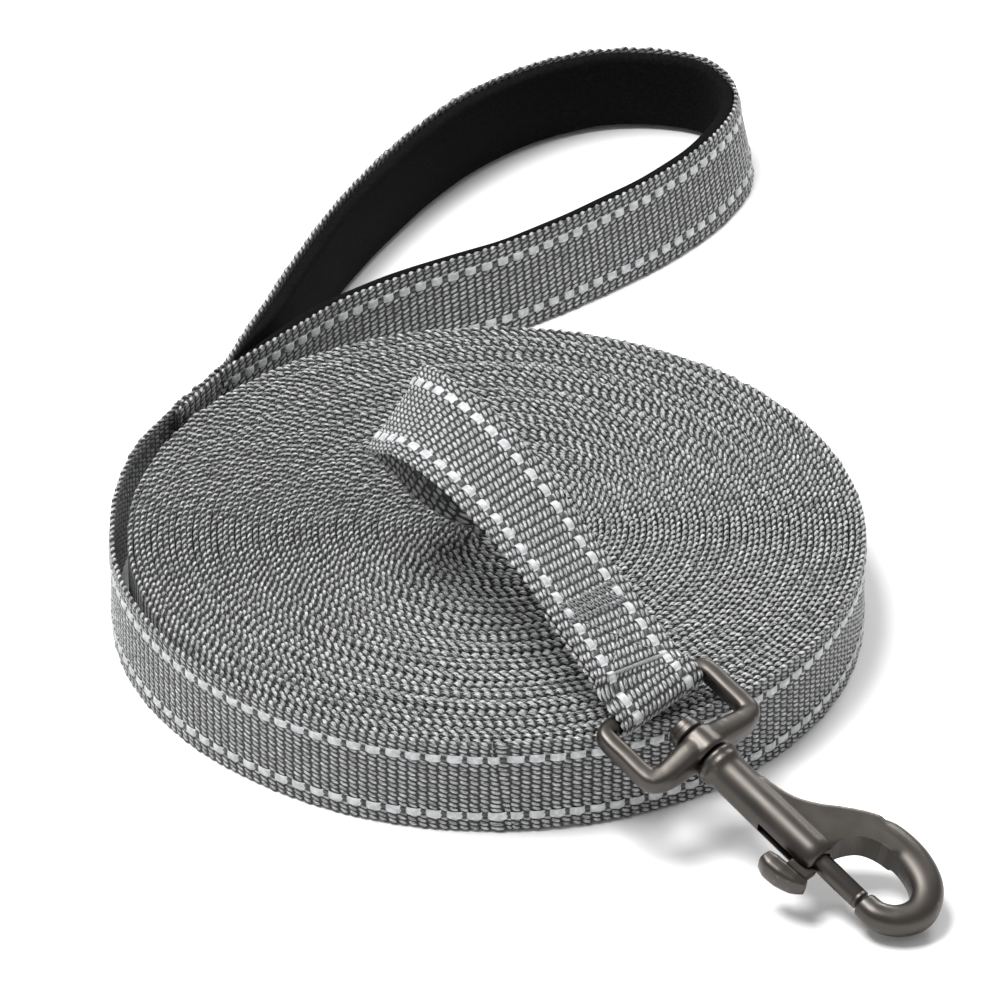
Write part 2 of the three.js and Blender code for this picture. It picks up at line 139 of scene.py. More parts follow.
class Line:
    """A strap's middle line, evenly spaced: places, width directions, outward directions, distances."""

    def __init__(self, centre, side, step):
        run = np.concatenate([[0], np.cumsum(np.linalg.norm(np.diff(centre, axis=0), axis=1))])
        self.length = run[-1]
        self.u = np.arange(0, self.length, step)
        self.centre = np.stack([np.interp(self.u, run, centre[:, k]) for k in range(3)], 1)
        side = np.stack([np.interp(self.u, run, side[:, k]) for k in range(3)], 1)
        tangent = unit(np.gradient(self.centre, axis=0))
        self.tangent = tangent
        self.side = unit(side - tangent * np.sum(side * tangent, 1, keepdims=True))
        self.normal = np.cross(tangent, self.side)

    def at(self, u):
        """Centre, tangent, side and normal at the distances u."""
        pick = []
        for field in (self.centre, self.tangent, self.side, self.normal):
            pick.append(np.stack([np.interp(u, self.u, field[:, k]) for k in range(3)], 1))
        return pick[0], unit(pick[1]), unit(pick[2]), unit(pick[3])


def line_through(points, across, step=COLUMN / STEPS_PER_COLUMN):
    centre, place = catmull(points)
    across = np.array(across, float)
    side = np.stack([np.interp(place, np.arange(len(across)), across[:, k]) for k in range(3)], 1)
    return Line(centre, side, step)


# ---------------------------------------------------------------- meshes
def new_object(name, verts, faces, uv=None, material=None, smooth=True):
    """verts in millimetres, faces a list or array of corner indices, uv one pair per face corner."""
    mesh = bpy.data.meshes.new(name)
    mesh.from_pydata((np.asarray(verts) * MM).tolist(), [], faces.tolist() if hasattr(faces, "tolist") else faces)
    if uv is not None:
        layer = mesh.uv_layers.new(name="weave")
        layer.data.foreach_set("uv", np.asarray(uv, np.float32).ravel())
    mesh.polygons.foreach_set("use_smooth", np.full(len(mesh.polygons), smooth))
    mesh.update()
    obj = bpy.data.objects.new(name, mesh)
    bpy.context.collection.objects.link(obj)
    if material:
        mesh.materials.append(material)
    return obj


def turned_outward(verts, faces):
    """True if the faces of a closed grid face outward, from its signed volume."""
    a, b, c = (verts[faces[:, k]] for k in range(3))
    d = verts[faces[:, 3]]
    return np.sum(np.cross(a, b) * c) + np.sum(np.cross(a, c) * d) > 0


def loft(name, rings, ring_uv=None, material=None, closed=False):
    """A closed body from rings of points, (rings, points, 3). ring_uv holds u per ring and v per point."""
    count, size = rings.shape[:2]
    verts = rings.reshape(-1, 3)
    turns = count if closed else count - 1
    i = np.repeat(np.arange(turns), size)
    j = np.tile(np.arange(size), turns)
    i2, j2 = (i + 1) % count, (j + 1) % size
    faces = np.stack([i * size + j, i2 * size + j, i2 * size + j2, i * size + j2], 1)
    flip = not turned_outward(verts, faces)
    corner_i = np.stack([i, i + 1, i + 1, i], 1)
    corner_j = np.stack([j, j, j + 1, j + 1], 1)
    if flip:
        faces, corner_i, corner_j = faces[:, ::-1], corner_i[:, ::-1], corner_j[:, ::-1]
    uv = None
    if ring_uv is not None:
        u, v = ring_uv
        u = np.append(u, 2 * u[-1] - u[-2])
        uv = np.stack([u[corner_i], v[corner_j]], 2).reshape(-1, 2) * MM
    faces = faces.tolist()
    if not closed:
        first, last = list(range(size)), [(count - 1) * size + k for k in range(size)]
        caps = [first[::-1], last] if flip else [first, last[::-1]]
        faces += caps
        if uv is not None:
            uv = np.vstack([uv, np.zeros((2 * size, 2))])
    return new_object(name, verts, faces, uv, material)


def join(name, objects):
    """Joins meshes into the first one."""
    with bpy.context.temp_override(active_object=objects[0], selected_editable_objects=objects,
                                   selected_objects=objects, object=objects[0]):
        bpy.ops.object.join()
    objects[0].name = name
    objects[0].data.name = name
    return objects[0]


def apply_modifiers(obj):
    graph = bpy.context.evaluated_depsgraph_get()
    mesh = bpy.data.meshes.new_from_object(obj.evaluated_get(graph))
    obj.modifiers.clear()
    obj.data = mesh


# ---------------------------------------------------------------- materials
class Nodes:
    """Short calls for building a node tree."""

    def __init__(self, name):
        self.material = bpy.data.materials.new(name)
        self.material.use_nodes = True
        self.tree = self.material.node_tree
        self.shader = self.tree.nodes["Principled BSDF"]

    def add(self, kind, **settings):
        node = self.tree.nodes.new(kind)
        for key, value in settings.items():
            setattr(node, key, value)
        return node

    def plug(self, value, socket):
        if isinstance(value, (int, float, tuple)):
            socket.default_value = value
        else:
            self.tree.links.new(value, socket)

    def math(self, operation, *values, clamp=False):
        node = self.add("ShaderNodeMath", operation=operation, use_clamp=clamp)
        for value, socket in zip(values, node.inputs):
            self.plug(value, socket)
        return node.outputs[0]

    def mix(self, share, a, b):
        node = self.add("ShaderNodeMix", data_type="RGBA")
        self.plug(share, node.inputs[0])
        self.plug(a, node.inputs[6])
        self.plug(b, node.inputs[7])
        return node.outputs[2]

    def noise(self, vector, scale, detail=2.0, rough=0.5):
        node = self.add("ShaderNodeTexNoise")
        if vector is not None:
            self.plug(vector, node.inputs["Vector"])
        node.inputs["Scale"].default_value = scale
        node.inputs["Detail"].default_value = detail
        node.inputs["Roughness"].default_value = rough
        return node.outputs["Fac"]

    def ramp(self, value, low, high, a=0.0, b=1.0):
        node = self.add("ShaderNodeMapRange", clamp=True, interpolation_type="SMOOTHSTEP")
        self.plug(value, node.inputs[0])
        for k, number in enumerate((low, high, a, b)):
            node.inputs[k + 1].default_value = number
        return node.outputs[0]

    def bump(self, height, distance, strength=1.0, under=None):
        node = self.add("ShaderNodeBump")
        self.plug(height, node.inputs["Height"])
        node.inputs["Distance"].default_value = distance
        node.inputs["Strength"].default_value = strength
        if under is not None:
            self.plug(under, node.inputs["Normal"])
        return node.outputs["Normal"]

    def set(self, **sockets):
        for key, value in sockets.items():
            self.plug(value, self.shader.inputs[key.replace("_", " ")])


def webbing_material():
    """Grey nylon: yarns that slant over each rib, with fine filaments and painted shade in the holes between them.
    """
    n = Nodes("grey_webbing")
    uv = n.add("ShaderNodeUVMap", uv_map="weave").outputs[0]
    split = n.add("ShaderNodeSeparateXYZ")
    n.plug(uv, split.inputs[0])
    u, v = (n.math("MULTIPLY", split.outputs[k], 1000.0) for k in (0, 1))
    row = n.math("DIVIDE", v, ROW)
    odd = n.math("MULTIPLY_ADD", n.math("FLOORED_MODULO", n.math("FLOOR", row), 2.0), 2.0, -1.0)
    column = n.math("ADD", n.math("MULTIPLY_ADD", odd, 0.05, 0.5), n.math("DIVIDE", u, COLUMN))
    local = n.math("SUBTRACT", n.math("FRACT", column), 0.5)
    phase = n.math("MULTIPLY_ADD", local, SLANT, row)
    yarn = n.math("POWER", n.math("ABSOLUTE", n.math("SINE", n.math("MULTIPLY", phase, math.pi))), 0.85)
    rib = n.math("POWER", n.math("COSINE", n.math("MULTIPLY", local, math.pi)), 0.6)
    lump = n.math("MULTIPLY", rib, yarn)
    place = n.add("ShaderNodeCombineXYZ")
    n.plug(u, place.inputs[0])
    n.plug(v, place.inputs[1])
    wander = n.noise(place.outputs[0], 0.8, 2.0)
    strand = n.math("MULTIPLY_ADD", phase, 3.0, n.math("MULTIPLY", wander, 3.0))
    line = n.math("MULTIPLY_ADD", n.math("SINE", n.math("MULTIPLY", strand, 2 * math.pi)), 0.5, 0.5)
    cell = n.add("ShaderNodeCombineXYZ")
    n.plug(n.math("FLOOR", column), cell.inputs[0])
    n.plug(n.math("FLOOR", phase), cell.inputs[1])
    white = n.add("ShaderNodeTexWhiteNoise", noise_dimensions="2D")
    n.plug(cell.outputs[0], white.inputs["Vector"])
    stretched = n.add("ShaderNodeCombineXYZ")
    n.plug(n.math("MULTIPLY", u, 0.4), stretched.inputs[0])
    n.plug(n.math("MULTIPLY", v, 1.3), stretched.inputs[1])
    fleck = n.noise(stretched.outputs[0], 1.9, 3.0, 0.7)
    tone = n.math("MULTIPLY_ADD", white.outputs["Value"], 0.25, n.ramp(fleck, 0.4, 0.62, 0.0, 0.6))
    tone = n.math("MULTIPLY_ADD", line, 0.3, tone, clamp=True)
    colour = n.mix(tone, (0.085, 0.088, 0.091, 1), (0.68, 0.685, 0.69, 1))
    # Painted shade: the colour darkens where the lumps fall away, in the holes between yarns and at the selvedge's
    # lump ends.
    gap = n.ramp(lump, 0.76, 0.34)
    from_selvedge = n.math("ABSOLUTE", n.math("SUBTRACT", v, WIDTH + ROW / 2))
    for middle in FLOAT_ROWS:
        aside = n.math("ABSOLUTE", n.math("SUBTRACT", from_selvedge, WIDTH + ROW / 2 - middle))
        along = n.math("FRACT", n.math("DIVIDE", n.math("SUBTRACT", u, FLOAT_START), FLOAT_PITCH))
        # Painted shadow in the hole where each reflective yarn dives under the weave, after the float's end.
        float_end_shade = n.math("MULTIPLY", n.ramp(aside, 0.95, 0.6), n.ramp(along, FLOAT_GAP - 0.06, FLOAT_GAP))
        gap = n.math("MAXIMUM", gap, n.math("MULTIPLY", float_end_shade, 0.85))
    # Mixes the painted shade in, taking the colour almost to black.
    colour = n.mix(n.math("MULTIPLY", gap, 0.96), colour, (0.006, 0.006, 0.007, 1))
    height = n.math("MULTIPLY_ADD", line, 0.3, lump)
    n.set(Base_Color=colour, Roughness=0.45, Normal=n.bump(height, 0.0003, 1.0))
    n.shader.inputs["Sheen Weight"].default_value = 0.08
    n.shader.inputs["Sheen Roughness"].default_value = 0.4
    n.shader.inputs["Specular IOR Level"].default_value = 0.6
    return n.material


def float_material():
    """Pale reflective yarn: smooth flat filament with a satin gloss and faint lines along it."""
    n = Nodes("reflective_yarn")
    place = n.add("ShaderNodeTexCoord").outputs["Object"]
    grain = n.noise(place, 900, 2.0)
    colour = n.mix(n.ramp(grain, 0.35, 0.7), (0.42, 0.435, 0.44, 1), (0.6, 0.615, 0.62, 1))
    n.set(Base_Color=colour, Roughness=0.42, Normal=n.bump(grain, 0.00005, 0.5))
    n.shader.inputs["Sheen Weight"].default_value = 0.1
    return n.material


def thread_material(name, low, high):
    n = Nodes(name)
    place = n.add("ShaderNodeTexCoord").outputs["Object"]
    grain = n.noise(place, 2500, 2.0)
    n.set(Base_Color=n.mix(grain, low, high), Roughness=0.6, Normal=n.bump(grain, 0.00006, 0.7))
    return n.material


def neoprene_material():
    """Black neoprene faced with a fine matt knit."""
    n = Nodes("black_neoprene")
    place = n.add("ShaderNodeTexCoord").outputs["Object"]
    knit = n.noise(place, 1600, 3.0, 0.6)
    cloudy = n.noise(place, 60, 2.0)
    colour = n.mix(n.ramp(knit, 0.35, 0.75), (0.0012, 0.0012, 0.0014, 1), (0.006, 0.006, 0.007, 1))
    colour = n.mix(n.math("MULTIPLY", cloudy, 0.3), colour, (0.007, 0.007, 0.008, 1))
    n.set(Base_Color=colour, Roughness=0.95, Normal=n.bump(knit, 0.0002, 0.6))
    n.shader.inputs["Specular IOR Level"].default_value = 0.08
    return n.material


def gunmetal_material():
    """Satin gunmetal plating over a zinc casting, rubbed a little brighter on its edges."""
    n = Nodes("gunmetal")
    place = n.add("ShaderNodeTexCoord").outputs["Object"]
    broad = n.noise(place, 120, 3.0)
    fine = n.noise(place, 3500, 2.0, 0.6)
    edge = n.add("ShaderNodeNewGeometry").outputs["Pointiness"]
    worn = n.ramp(edge, 0.53, 0.6)
    colour = n.mix(broad, (0.07, 0.064, 0.058, 1), (0.1, 0.091, 0.083, 1))
    colour = n.mix(n.math("MULTIPLY", worn, 0.35), colour, (0.2, 0.185, 0.17, 1))
    rough = n.ramp(broad, 0.3, 0.75, 0.36, 0.45)
    n.set(Base_Color=colour, Metallic=1.0, Roughness=rough, Normal=n.bump(fine, 0.00002, 0.35))
    return n.material


def steel_material():
    n = Nodes("spring_steel")
    place = n.add("ShaderNodeTexCoord").outputs["Object"]
    drawn = n.noise(place, 1500, 2.0)
    colour = n.mix(drawn, (0.32, 0.32, 0.31, 1), (0.5, 0.5, 0.49, 1))
    n.set(Base_Color=colour, Metallic=1.0, Roughness=0.3, Normal=n.bump(drawn, 0.00002, 0.4))
    return n.material


WEBBING = webbing_material()
REFLECTIVE = float_material()
GREY_THREAD = thread_material("grey_thread", (0.1, 0.102, 0.105, 1), (0.42, 0.425, 0.43, 1))
BLACK_THREAD = thread_material("black_thread", (0.008, 0.008, 0.009, 1), (0.03, 0.03, 0.032, 1))
NEOPRENE = neoprene_material()
GUNMETAL = gunmetal_material()
STEEL = steel_material()


# ---------------------------------------------------------------- webbing
def rib_place(u, shift=0.0):
    """Place along the rib at distance u, from -0.5 to 0.5 with 0 on its crest."""
    return (u / COLUMN + shift + 0.5) % 1 - 0.5


def weave_height(u, v):
    """Height of the woven face over the strap's core at distance u along and v across."""
    row = v / ROW
    odd = 2 * (np.floor(row) % 2) - 1
    local = rib_place(u, 0.05 * odd)
    yarn = np.abs(np.sin(np.pi * (row + SLANT * local))) ** 0.85
    return RIB * np.cos(np.pi * local) ** 0.6 * (0.25 + 0.75 * yarn)


def face_points(u, fine):
    """(v, offset along the width, offset outward) of a face, from its low edge to its high edge."""
    if not fine:
        v = np.array([ROW, WIDTH / 2, WIDTH - ROW])
        return v, v[None] - WIDTH / 2 + 0 * u, 0 * u + np.full((1, 3), THICK / 2 - RIB * 0.5)
    v = np.arange(1, ROWS * STEPS_PER_ROW) * ROW / STEPS_PER_ROW
    out = THICK / 2 - RIB + weave_height(u, v[None])
    return v, v[None] - WIDTH / 2 + 0 * u, out


def edge_points(u, angles, rise=0.45, lean=0.55):
    """Points over the upper selvedge from front to back: one lump for each rib, slanting across the edge."""
    turn = np.radians(np.array(angles))[None]
    local = rib_place(u)
    uneven = LUMP_JITTER[np.floor(u / COLUMN + 0.5).astype(int) % len(LUMP_JITTER)]
    lump = np.cos(np.pi * local) ** 0.7 * (1 + 0.25 * uneven)
    radius = THICK / 2 * (0.68 + 0.34 * lump)
    along_width = WIDTH / 2 - THICK * 0.55 + (radius + rise * lump) * np.cos(turn)
    return along_width, radius * np.sin(turn) + (lean * local + 0.16 * uneven) * np.cos(turn)


def ribbon(name, line, front=True, back=False, edge=(55, 0, -55), low_edge=(55, 0, -55)):
    """A closed woven strap round a Line. front and back say which faces have their weave modelled."""
    u = line.u[:, None]
    v_front, s_front, n_front = face_points(u, front)
    v_back, s_back, n_back = face_points(u, back)
    s_top, n_top = edge_points(u, edge)
    s_low, n_low = edge_points(u, low_edge)
    share = (np.arange(len(edge)) + 0.5) / len(edge)
    low_share = (np.arange(len(low_edge)) + 0.5) / len(low_edge)
    side = np.hstack([s_front, s_top, s_back[:, ::-1], -s_low[:, ::-1]])
    out = np.hstack([n_front, n_top, -n_back[:, ::-1], n_low[:, ::-1]])
    v = np.concatenate([v_front, WIDTH + share * ROW, WIDTH + ROW + WIDTH - v_back[::-1],
                        2 * WIDTH + ROW + low_share * ROW, [2 * WIDTH + 2 * ROW + v_front[0]]])
    rings = line.centre[:, None] + line.side[:, None] * side[..., None] + line.normal[:, None] * out[..., None]
    return loft(name, rings, (line.u, v), WEBBING)


def floats(name, line, faces=(1,), start=FLOAT_START, end=None, length=FLOAT_LENGTH):
    """The reflective yarns where they show: short flat bridges over every second rib."""
    end = line.length - 2.5 if end is None else end
    starts = np.arange(start, end - length, FLOAT_PITCH)
    share = np.linspace(0, 1, 7)
    lift = THICK / 2 - 0.36 + 0.5 * np.sin(np.pi * share) ** 0.35
    across = FLOAT_WIDTH * np.array([-0.5, -0.44, -0.15, 0.15, 0.44, 0.5, 0.42, -0.42])
    crown = np.array([-0.06, 0.05, 0.1, 0.1, 0.05, -0.06, -0.14, -0.14])
    size = len(across)
    verts, quads = [], []
    for face in faces:
        for middle in FLOAT_ROWS:
            for first in starts:
                jitter = rng.uniform(-0.12, 0.12)
                centre, tangent, side, normal = line.at(first + jitter + share * length)
                wide = across * (1 + rng.uniform(-0.05, 0.05)) + middle - WIDTH / 2 + rng.uniform(-0.06, 0.06)
                ring = centre[:, None] + side[:, None] * wide[None, :, None]
                ring = ring + face * normal[:, None] * (lift[:, None] + crown[None])[..., None]
                base = sum(len(part) for part in verts)
                verts.append(ring.reshape(-1, 3))
                for i in range(len(share) - 1):
                    for j in range(size):
                        j2 = (j + 1) % size
                        quad = [base + i * size + j, base + (i + 1) * size + j,
                                base + (i + 1) * size + j2, base + i * size + j2]
                        quads.append(quad if face > 0 else quad[::-1])
                head = [base + j for j in range(size)]
                tail = [base + (len(share) - 1) * size + j for j in range(size)]
                quads.append(head[::-1] if face > 0 else head)
                quads.append(tail if face > 0 else tail[::-1])
    return new_object(name, np.vstack(verts), quads, None, REFLECTIVE)


def roll_radius(degrees):
    """Middle radius of the webbing, winding in from where the last turn leaves the roll."""
    return ROLL_RADIUS - THICK / 2 - PITCH * (degrees - LEAVE_DEG) / 360


def spiral(start_deg, end_deg, step):
    """Line of the wound webbing, counter-clockwise and inward, with turns a little uneven."""
    places = [start_deg]
    while places[-1] < end_deg:
        places.append(places[-1] + math.degrees(step / max(float(roll_radius(places[-1])), 4)))
    degrees = np.array(places)
    angle = np.radians(degrees)
    radius = roll_radius(degrees)
    uneven = 0.16 * np.sin(angle * 0.37 + 1.1) + 0.13 * np.sin(angle * 1.618 + 0.4) + 0.1 * np.sin(angle * 4.3)
    radius = radius + 0.05 * np.sin(angle * 2.71)
    centre = np.stack([radius * np.cos(angle), radius * np.sin(angle), WIDTH / 2 + 0.35 + uneven], 1)
    side = np.tile([0.0, 0.0, 1.0], (len(centre), 1))
    return centre, side


def polar(radius, degrees, z):
    return [radius * math.cos(math.radians(degrees)), radius * math.sin(math.radians(degrees)), z]


def joint_line():
    """The straight joint: ends of the outer layer's middle line, its direction and the way inward."""
    front = np.array(polar(JOINT_RADIUS, JOINT_FRONT_DEG, 0))
    rear = np.array(polar(JOINT_RADIUS + JOINT_SPREAD, JOINT_REAR_DEG, 0))
    along = unit(rear - front)
    return front, rear, along, np.array([along[1], -along[0], 0])


def outer_turn():
    """From the joint, counter-clockwise down the left side to where the strap meets the roll."""
    front, rear = joint_line()[:2]
    places = [(158, ROLL_RADIUS + 3.8), (170, ROLL_RADIUS + 2.8)]
    for degrees in np.arange(LOOSE_DEG + 5, LEAVE_DEG, 8):
        touching = roll_radius(degrees + 360) + THICK + 0.12
        slack = SLACK * smoothstep((LEAVE_DEG - degrees - 10) / (LEAVE_DEG - LOOSE_DEG - 10))
        places.append((degrees, touching + slack))
    places += [(degrees, roll_radius(degrees)) for degrees in (254.0, 262.0, 270.0)]
    points = np.vstack([rear, front, [polar(radius, degrees, 0) for degrees, radius in places]])
    return points + [0, 0, WIDTH / 2 + 0.35]


def make_roll():
    step = COLUMN / STEPS_PER_COLUMN
    free, _ = catmull(outer_turn())
    wound, up = spiral(272, 505, step)
    lap = Line(np.vstack([free, wound]), np.tile([0.0, 0.0, 1.0], (len(free) + len(wound), 1)), step)
    if np.dot(lap.normal[200], lap.centre[200]) < 0:
        lap.normal = -lap.normal
    outer = ribbon("webbing_outer_lap", lap, edge=(60, 20, -20, -60))
    outer_floats = floats("webbing_outer_lap_reflective", lap, length=LONG_FLOAT)
    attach(outer, "leash")
    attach(outer_floats, "leash")
    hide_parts("webbing_outer_turn")
    last = LEAVE_DEG + 360 * (ROLL_RADIUS - THICK / 2 - CORE_RADIUS) / PITCH
    cuts = [505, 505 + (last - 505) * 0.21, 505 + (last - 505) * 0.47, last]
    turns = []
    for number, (start, end) in enumerate(zip(cuts, cuts[1:])):
        centre, side = spiral(start, end, step)
        line = Line(centre, side, step)
        line.u = line.u + 4000 * number
        turns.append(ribbon_edge("webbing_turns_%d" % (number + 1), line))
        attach(turns[-1], "leash")
    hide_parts("webbing_roll")


def ribbon_edge(name, line):
    """The wound strap, whose faces are hidden: a closed body with its selvedges modelled."""
    u = line.u[:, None]
    side, out = edge_points(u, (66, 26, -14, -54), rise=0.6, lean=0.55)
    low_side = np.repeat(np.array([[-WIDTH / 2 + 0.3, -WIDTH / 2 + 0.3]]), len(u), 0)
    low_out = np.repeat(np.array([[-THICK / 2, THICK / 2]]), len(u), 0) * 0.9
    side = np.hstack([side, low_side])
    out = np.hstack([out, low_out])
    v = WIDTH + ROW * np.array([0.1, 0.37, 0.63, 0.9])
    v = np.concatenate([v, [2 * WIDTH + ROW * 1.05, 2 * WIDTH + ROW * 1.95, 3 * WIDTH + ROW * 2]])
    rings = line.centre[:, None] + line.side[:, None] * side[..., None] + line.normal[:, None] * out[..., None]
    return loft(name, rings, (line.u, v), WEBBING)


# ---------------------------------------------------------------- hand loop
HANDLE_PLAN = [
    (-54.8, 58.8), (-51.8, 69.3), (-47.1, 83.4), (-40.5, 102.9), (-32.5, 123.3), (-22.2, 143.5),
    (-11.4, 160.2), (-0.9, 171.9), (10.8, 180.4), (23.5, 185.1), (35.7, 185.2), (45.9, 181.5),
    (52.2, 172.3), (53, 160), (47.8, 146.8), (37.1, 132.2), (21.8, 117.6), (4, 104),
    (-15.8, 92.6), (-30.6, 82.3), (-41.6, 70.9), (-50.8, 61.2), (-54.3, 57),
]
LEAN = [0, 0.02, 0.03, 0.03, 0.03, 0.04, 0.06, 0.1, 0.13, 0.16, 0.18, 0.2,
        0.2, 0.19, 0.18, 0.17, 0.16, 0.15, 0.12, 0.08, 0.04, 0.01, 0]
LOOP_MIDDLE = np.array([6.0, 130.0, 0])


def handle_rows(inward, height):
    """Middle points and width directions of the hand loop, moved inward by a distance."""
    points = np.array([(x, y, height) for x, y in HANDLE_PLAN], float)
    tangent = unit(np.gradient(points, axis=0))
    inside = np.stack([tangent[:, 1], -tangent[:, 0], 0 * tangent[:, 0]], 1)
    inside *= np.where(np.sum(inside * (LOOP_MIDDLE - points), 1, keepdims=True) < 0, -1, 1)
    across = unit(np.array([0, 0, 1.0]) + inside * np.array(LEAN)[:, None])
    return points + inside * inward, across


def bends_at_joint(piece):
    """Bakes the piece's placement into its mesh."""
    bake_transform(piece)


def make_handle():
    height = WIDTH / 2 + 0.45
    points, across = handle_rows(0, height)
    front, rear, along, inward = joint_line()
    layer = inward * (THICK + 0.12) + [0, 0, height]
    tab = [rear + layer, (front + rear) / 2 + layer, front + layer + 0.2 * inward - 2.7 * along]
    points = np.vstack([points[:-1], tab])
    across = np.vstack([across[:-1], np.tile([0, 0, 1.0], (3, 1))])
    line = line_through(points, across)
    middle = len(line.u) // 2
    if np.dot(line.normal[middle], LOOP_MIDDLE - line.centre[middle]) > 0:
        line.normal = -line.normal
    strap = ribbon("hand_loop_webbing", line, edge=(60, 20, -20, -60), low_edge=(60, 20, -20, -60))
    yarns = floats("hand_loop_reflective", line, end=line.length - 16)
    for piece in (strap, yarns):
        bends_at_joint(piece)
    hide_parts("handle_webbing", "handle_end_tab")
    make_lining(height)


def make_lining(height):
    """Neoprene inside the loop: rounded long edges, ends squeezed thin where the two leaves meet."""
    thick, wide, corner = 3.0, WIDTH - 1.0, 1.1
    points, across = handle_rows(THICK / 2 + 0.1 + thick / 2, height)
    points[0] += 0.35 * (points[1] - points[0])
    points[-1] += 0.75 * (points[-2] - points[-1])
    line = line_through(points, across, 0.9)
    end = np.minimum(line.u, line.length - line.u)
    squeeze = (0.25 + 0.75 * smoothstep(end / 20))[:, None]
    middle = len(line.u) // 2
    outward = -np.sign(np.dot(line.normal[middle], LOOP_MIDDLE - line.centre[middle]))
    angles = np.radians(np.arange(0, 360, 15))[None]
    side = np.sign(np.cos(angles)) * (wide / 2 - corner) + corner * np.cos(angles)
    out = (np.sign(np.sin(angles)) * (thick / 2 - corner) + corner * np.sin(angles)) * squeeze
    out = out + outward * (1 - squeeze) * thick / 2
    ripple = 0.09 * np.sin(line.u / 7.3)[:, None] + 0.05 * np.sin(line.u / 2.9 + 1)[:, None]
    side = side + ripple + 0 * out
    rings = line.centre[:, None] + line.side[:, None] * side[..., None] + line.normal[:, None] * out[..., None]
    pad = loft("hand_loop_lining", rings, (line.u, np.arange(angles.size + 1) * 1.0), NEOPRENE)
    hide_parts("handle_pad")
    bends_at_joint(pad)


def thread_tube(points, radius, sides=6):
    """Rings of a thread through the points."""
    points = np.array(points, float)
    tangent = unit(np.gradient(points, axis=0))
    guide = np.array([0.31, 0.27, 0.91])
    a = unit(np.cross(tangent, guide))
    b = np.cross(tangent, a)
    turn = np.linspace(0, 2 * np.pi, sides, endpoint=False)
    ring = a[:, None] * np.cos(turn)[None, :, None] + b[:, None] * np.sin(turn)[None, :, None]
    return points[:, None] + radius * ring


def sewing(name, paths, radius, material):
    """One object from several lengths of thread."""
    parts = [loft("%s_%d" % (name, k), thread_tube(path, radius), None, material) for k, path in enumerate(paths)]
    return join(name, parts) if len(parts) > 1 else parts[0]


def zigzag(centre, along, across, up, length, width, pitch, arch=0.25):
    """Thread passing to and fro: length is how far the rows go on, width is each pass."""
    points = []
    count = max(2, int(length / pitch))
    for k in range(count + 1):
        place = centre + along * (k / count - 0.5) * length
        for share in np.linspace(-0.5, 0.5, 5) * (1 if k % 2 == 0 else -1):
            lift = arch * math.cos(math.pi * share)
            points.append(place + across * share * width + up * lift)
    return points


def make_handle_tacks():
    """Black bars through both layers: close stitches outside, open crossed ones on the inner face."""
    front, rear, along, inward = joint_line()
    up = np.array([0, 0, 1.0])
    places = (("joint_tack_front", front, "handle_bar_tack_front"),
              ("joint_tack_rear", rear - TACK_INSET * along, "handle_bar_tack_rear"))
    for name, place, node in places:
        middle = place + up * WIDTH / 2
        outer = zigzag(middle - inward * (THICK / 2 + 0.05), up, along, -inward, WIDTH - 3, 1.9, 0.42)
        inner = zigzag(middle + inward * (THICK * 1.5 + 0.3) + up * 1.2, up, along, inward, WIDTH - 5, 1.7, 1.5)
        top = place + inward * (THICK / 2 + 0.1) + up * (WIDTH + 0.55)
        cross = [[top - along * 0.7 - inward, top + up * 0.2, top + along * 0.7 + inward],
                 [top + along * 0.7 - inward, top + up * 0.25, top - along * 0.7 + inward]]
        piece = sewing(name, [outer, inner] + cross, 0.22, BLACK_THREAD)
        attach(piece, "leash")
        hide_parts(node)


# ---------------------------------------------------------------- lead
TOP = WIDTH
RISER_POINTS = [
    (0.5, 1.5, TOP + 10.6), (-4, 1.5, TOP + 11.8), (-10, 0.3, TOP + 17), (-15, -1.2, TOP + 24),
    (-18.2, -3, TOP + 28.8),
]
RISER_ACROSS = [(-0.05, 0.25, 0.97), (0.1, 0.35, 0.93), (0.3, 0.5, 0.8), (0.45, 0.65, 0.61), (0.52, 0.69, 0.5)]
LEAD_POINTS = [
    (-19, -4.5, TOP + 30.9), (-16.7, -11, TOP + 34.4), (-12.9, -17.1, TOP + 36.6), (-8, -23, TOP + 36.5),
    (-2.9, -28.5, TOP + 34.6), (4.9, -35.8, TOP + 29.4), (11.8, -42.9, TOP + 23), (18.4, -49.9, TOP + 16.8),
    (22.7, -55.1, TOP + 13.2), (26.8, -60.3, TOP + 9.7),
]
LEAD_ACROSS = [
    (0.53, 0.69, 0.49), (0.56, 0.7, 0.45), (0.65, 0.69, 0.31), (0.69, 0.69, 0.21), (0.71, 0.69, 0.11),
    (0.7, 0.72, 0.02), (0.66, 0.75, -0.07), (0.67, 0.74, -0.06), (0.68, 0.73, -0.05), (0.69, 0.73, -0.02),
]
BOX_STITCH_AT, LEAD_TACK_AT = 7, 9  # places in LEAD_POINTS
WRAP_LEAD_IN = (-3, 0.6, 2.9)  # just before the crossbar, in the snap's frame
WRAP_TAIL = (-3, 0.8, -2.7)
BAND_ROWS, BAND_COUNT, BAND_PITCH = 5, 24, 0.95  # the dense sewing away from the snap
CROSS_STITCHES = 8
BEND_YARNS = 4.0  # the reflective yarns start this far before the bend


def snap_to_row(points):
    return SNAP_ORIGIN + np.array(points, float) @ SNAP_AXES.T


